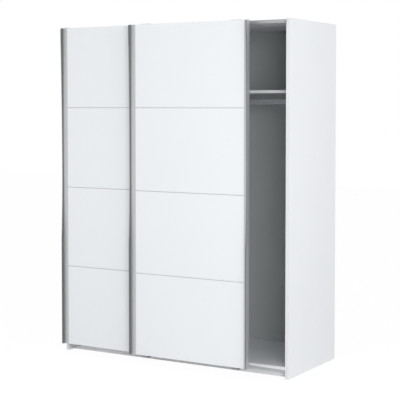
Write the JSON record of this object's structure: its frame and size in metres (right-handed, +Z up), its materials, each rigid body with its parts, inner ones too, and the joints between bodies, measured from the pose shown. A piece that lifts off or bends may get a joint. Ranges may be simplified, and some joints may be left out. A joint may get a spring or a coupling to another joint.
{
  "type": "sliding door wardrobe",
  "caption": "Tall white wardrobe with full-height sliding doors in front of the carcass, grooved gloss fronts, long aluminium grips, inner shelves and oval hanging rails.",
  "frame": {"origin": "on the floor, under the middle of the overall box", "axes": "+X right as seen from the front, front faces -Y, +Z up"},
  "size_m": [1.54, 0.724, 2],
  "materials": {
    "white_board": "satin melamine-faced chipboard",
    "gloss_white": "gloss lacquered board",
    "back_board": "printed hardboard, matt",
    "seam_grey": "satin",
    "anodised_aluminium": "satin anodised",
    "chrome": "bright plated",
    "zinc_steel": "zinc plated",
    "white_nylon": "matt",
    "grey_nylon": "matt",
    "grey_rubber": "matt"
  },
  "bodies": {
    "root": {"side_panel_left": "white_board", "side_panel_right": "white_board", "top_panel": "white_board", "bottom_panel": "white_board", "centre_divider": "white_board", "shelf_left": "white_board", "shelf_right": "white_board", "plinth_front": "white_board", "plinth_rear": "white_board", "plinth_brace": "white_board", "back_panel_left": "back_board", "back_panel_right": "back_board", "back_joint_strip": "white_nylon", "floor_glide_left_front": "grey_rubber", "floor_glide_left_rear": "grey_rubber", "floor_glide_right_front": "grey_rubber", "floor_glide_right_rear": "grey_rubber", "track_stop_left_front": "grey_rubber", "track_stop_left_rear": "grey_rubber", "track_stop_right_front": "grey_rubber", "track_stop_right_rear": "grey_rubber", "hanging_rail_left": "chrome", "hanging_rail_right": "chrome", "rail_socket_left_outer": "chrome", "rail_socket_left_inner": "chrome", "rail_socket_right_outer": "chrome", "rail_socket_right_inner": "chrome", "top_track": "anodised_aluminium", "bottom_guide_rail": "anodised_aluminium"},
    "left_door": {"left_door_panel_1": "gloss_white", "left_door_panel_2": "gloss_white", "left_door_panel_3": "gloss_white", "left_door_panel_4": "gloss_white", "left_door_seam_strip_1": "seam_grey", "left_door_seam_strip_2": "seam_grey", "left_door_seam_strip_3": "seam_grey", "left_door_handle_left": "anodised_aluminium", "left_door_edge_profile_right": "anodised_aluminium", "left_door_carriage_left": "zinc_steel", "left_door_guide_left": "grey_nylon", "left_door_carriage_right": "zinc_steel", "left_door_guide_right": "grey_nylon"},
    "right_door": {"right_door_panel_1": "gloss_white", "right_door_panel_2": "gloss_white", "right_door_panel_3": "gloss_white", "right_door_panel_4": "gloss_white", "right_door_seam_strip_1": "seam_grey", "right_door_seam_strip_2": "seam_grey", "right_door_seam_strip_3": "seam_grey", "right_door_handle_left": "anodised_aluminium", "right_door_handle_right": "anodised_aluminium", "right_door_carriage_left": "zinc_steel", "right_door_guide_left": "grey_nylon", "right_door_carriage_right": "zinc_steel", "right_door_guide_right": "grey_nylon"},
    "left_door_wheel_left": {"left_door_wheel_left": "white_nylon"},
    "left_door_wheel_right": {"left_door_wheel_right": "white_nylon"},
    "right_door_wheel_left": {"right_door_wheel_left": "white_nylon"},
    "right_door_wheel_right": {"right_door_wheel_right": "white_nylon"}
  },
  "joints": [
    {"name": "left_door_slide", "type": "slide", "parent": "root", "child": "left_door", "axis": [1, 0, 0], "range_m": [0, 0.725]},
    {"name": "right_door_slide", "type": "slide", "parent": "root", "child": "right_door", "axis": [1, 0, 0], "range_m": [-0.527, 0.198]},
    {"name": "left_door_wheel_left_roll", "type": "hinge", "parent": "left_door", "child": "left_door_wheel_left", "pos_m": [-0.665, -0.2672, 1.9831], "axis": [0, 1, 0], "continuous": true},
    {"name": "left_door_wheel_right_roll", "type": "hinge", "parent": "left_door", "child": "left_door_wheel_right", "pos_m": [-0.06, -0.2672, 1.9831], "axis": [0, 1, 0], "continuous": true},
    {"name": "right_door_wheel_left_roll", "type": "hinge", "parent": "right_door", "child": "right_door_wheel_left", "pos_m": [-0.138, -0.25455, 1.9831], "axis": [0, 1, 0], "continuous": true},
    {"name": "right_door_wheel_right_roll", "type": "hinge", "parent": "right_door", "child": "right_door_wheel_right", "pos_m": [0.467, -0.25455, 1.9831], "axis": [0, 1, 0], "continuous": true}
  ],
  "couplings": [
    {"joint": "left_door_wheel_left_roll", "follows": "left_door_slide", "rad_per_m": 133.33},
    {"joint": "left_door_wheel_right_roll", "follows": "left_door_slide", "rad_per_m": 133.33},
    {"joint": "right_door_wheel_left_roll", "follows": "right_door_slide", "rad_per_m": 133.33},
    {"joint": "right_door_wheel_right_roll", "follows": "right_door_slide", "rad_per_m": 133.33}
  ]
}
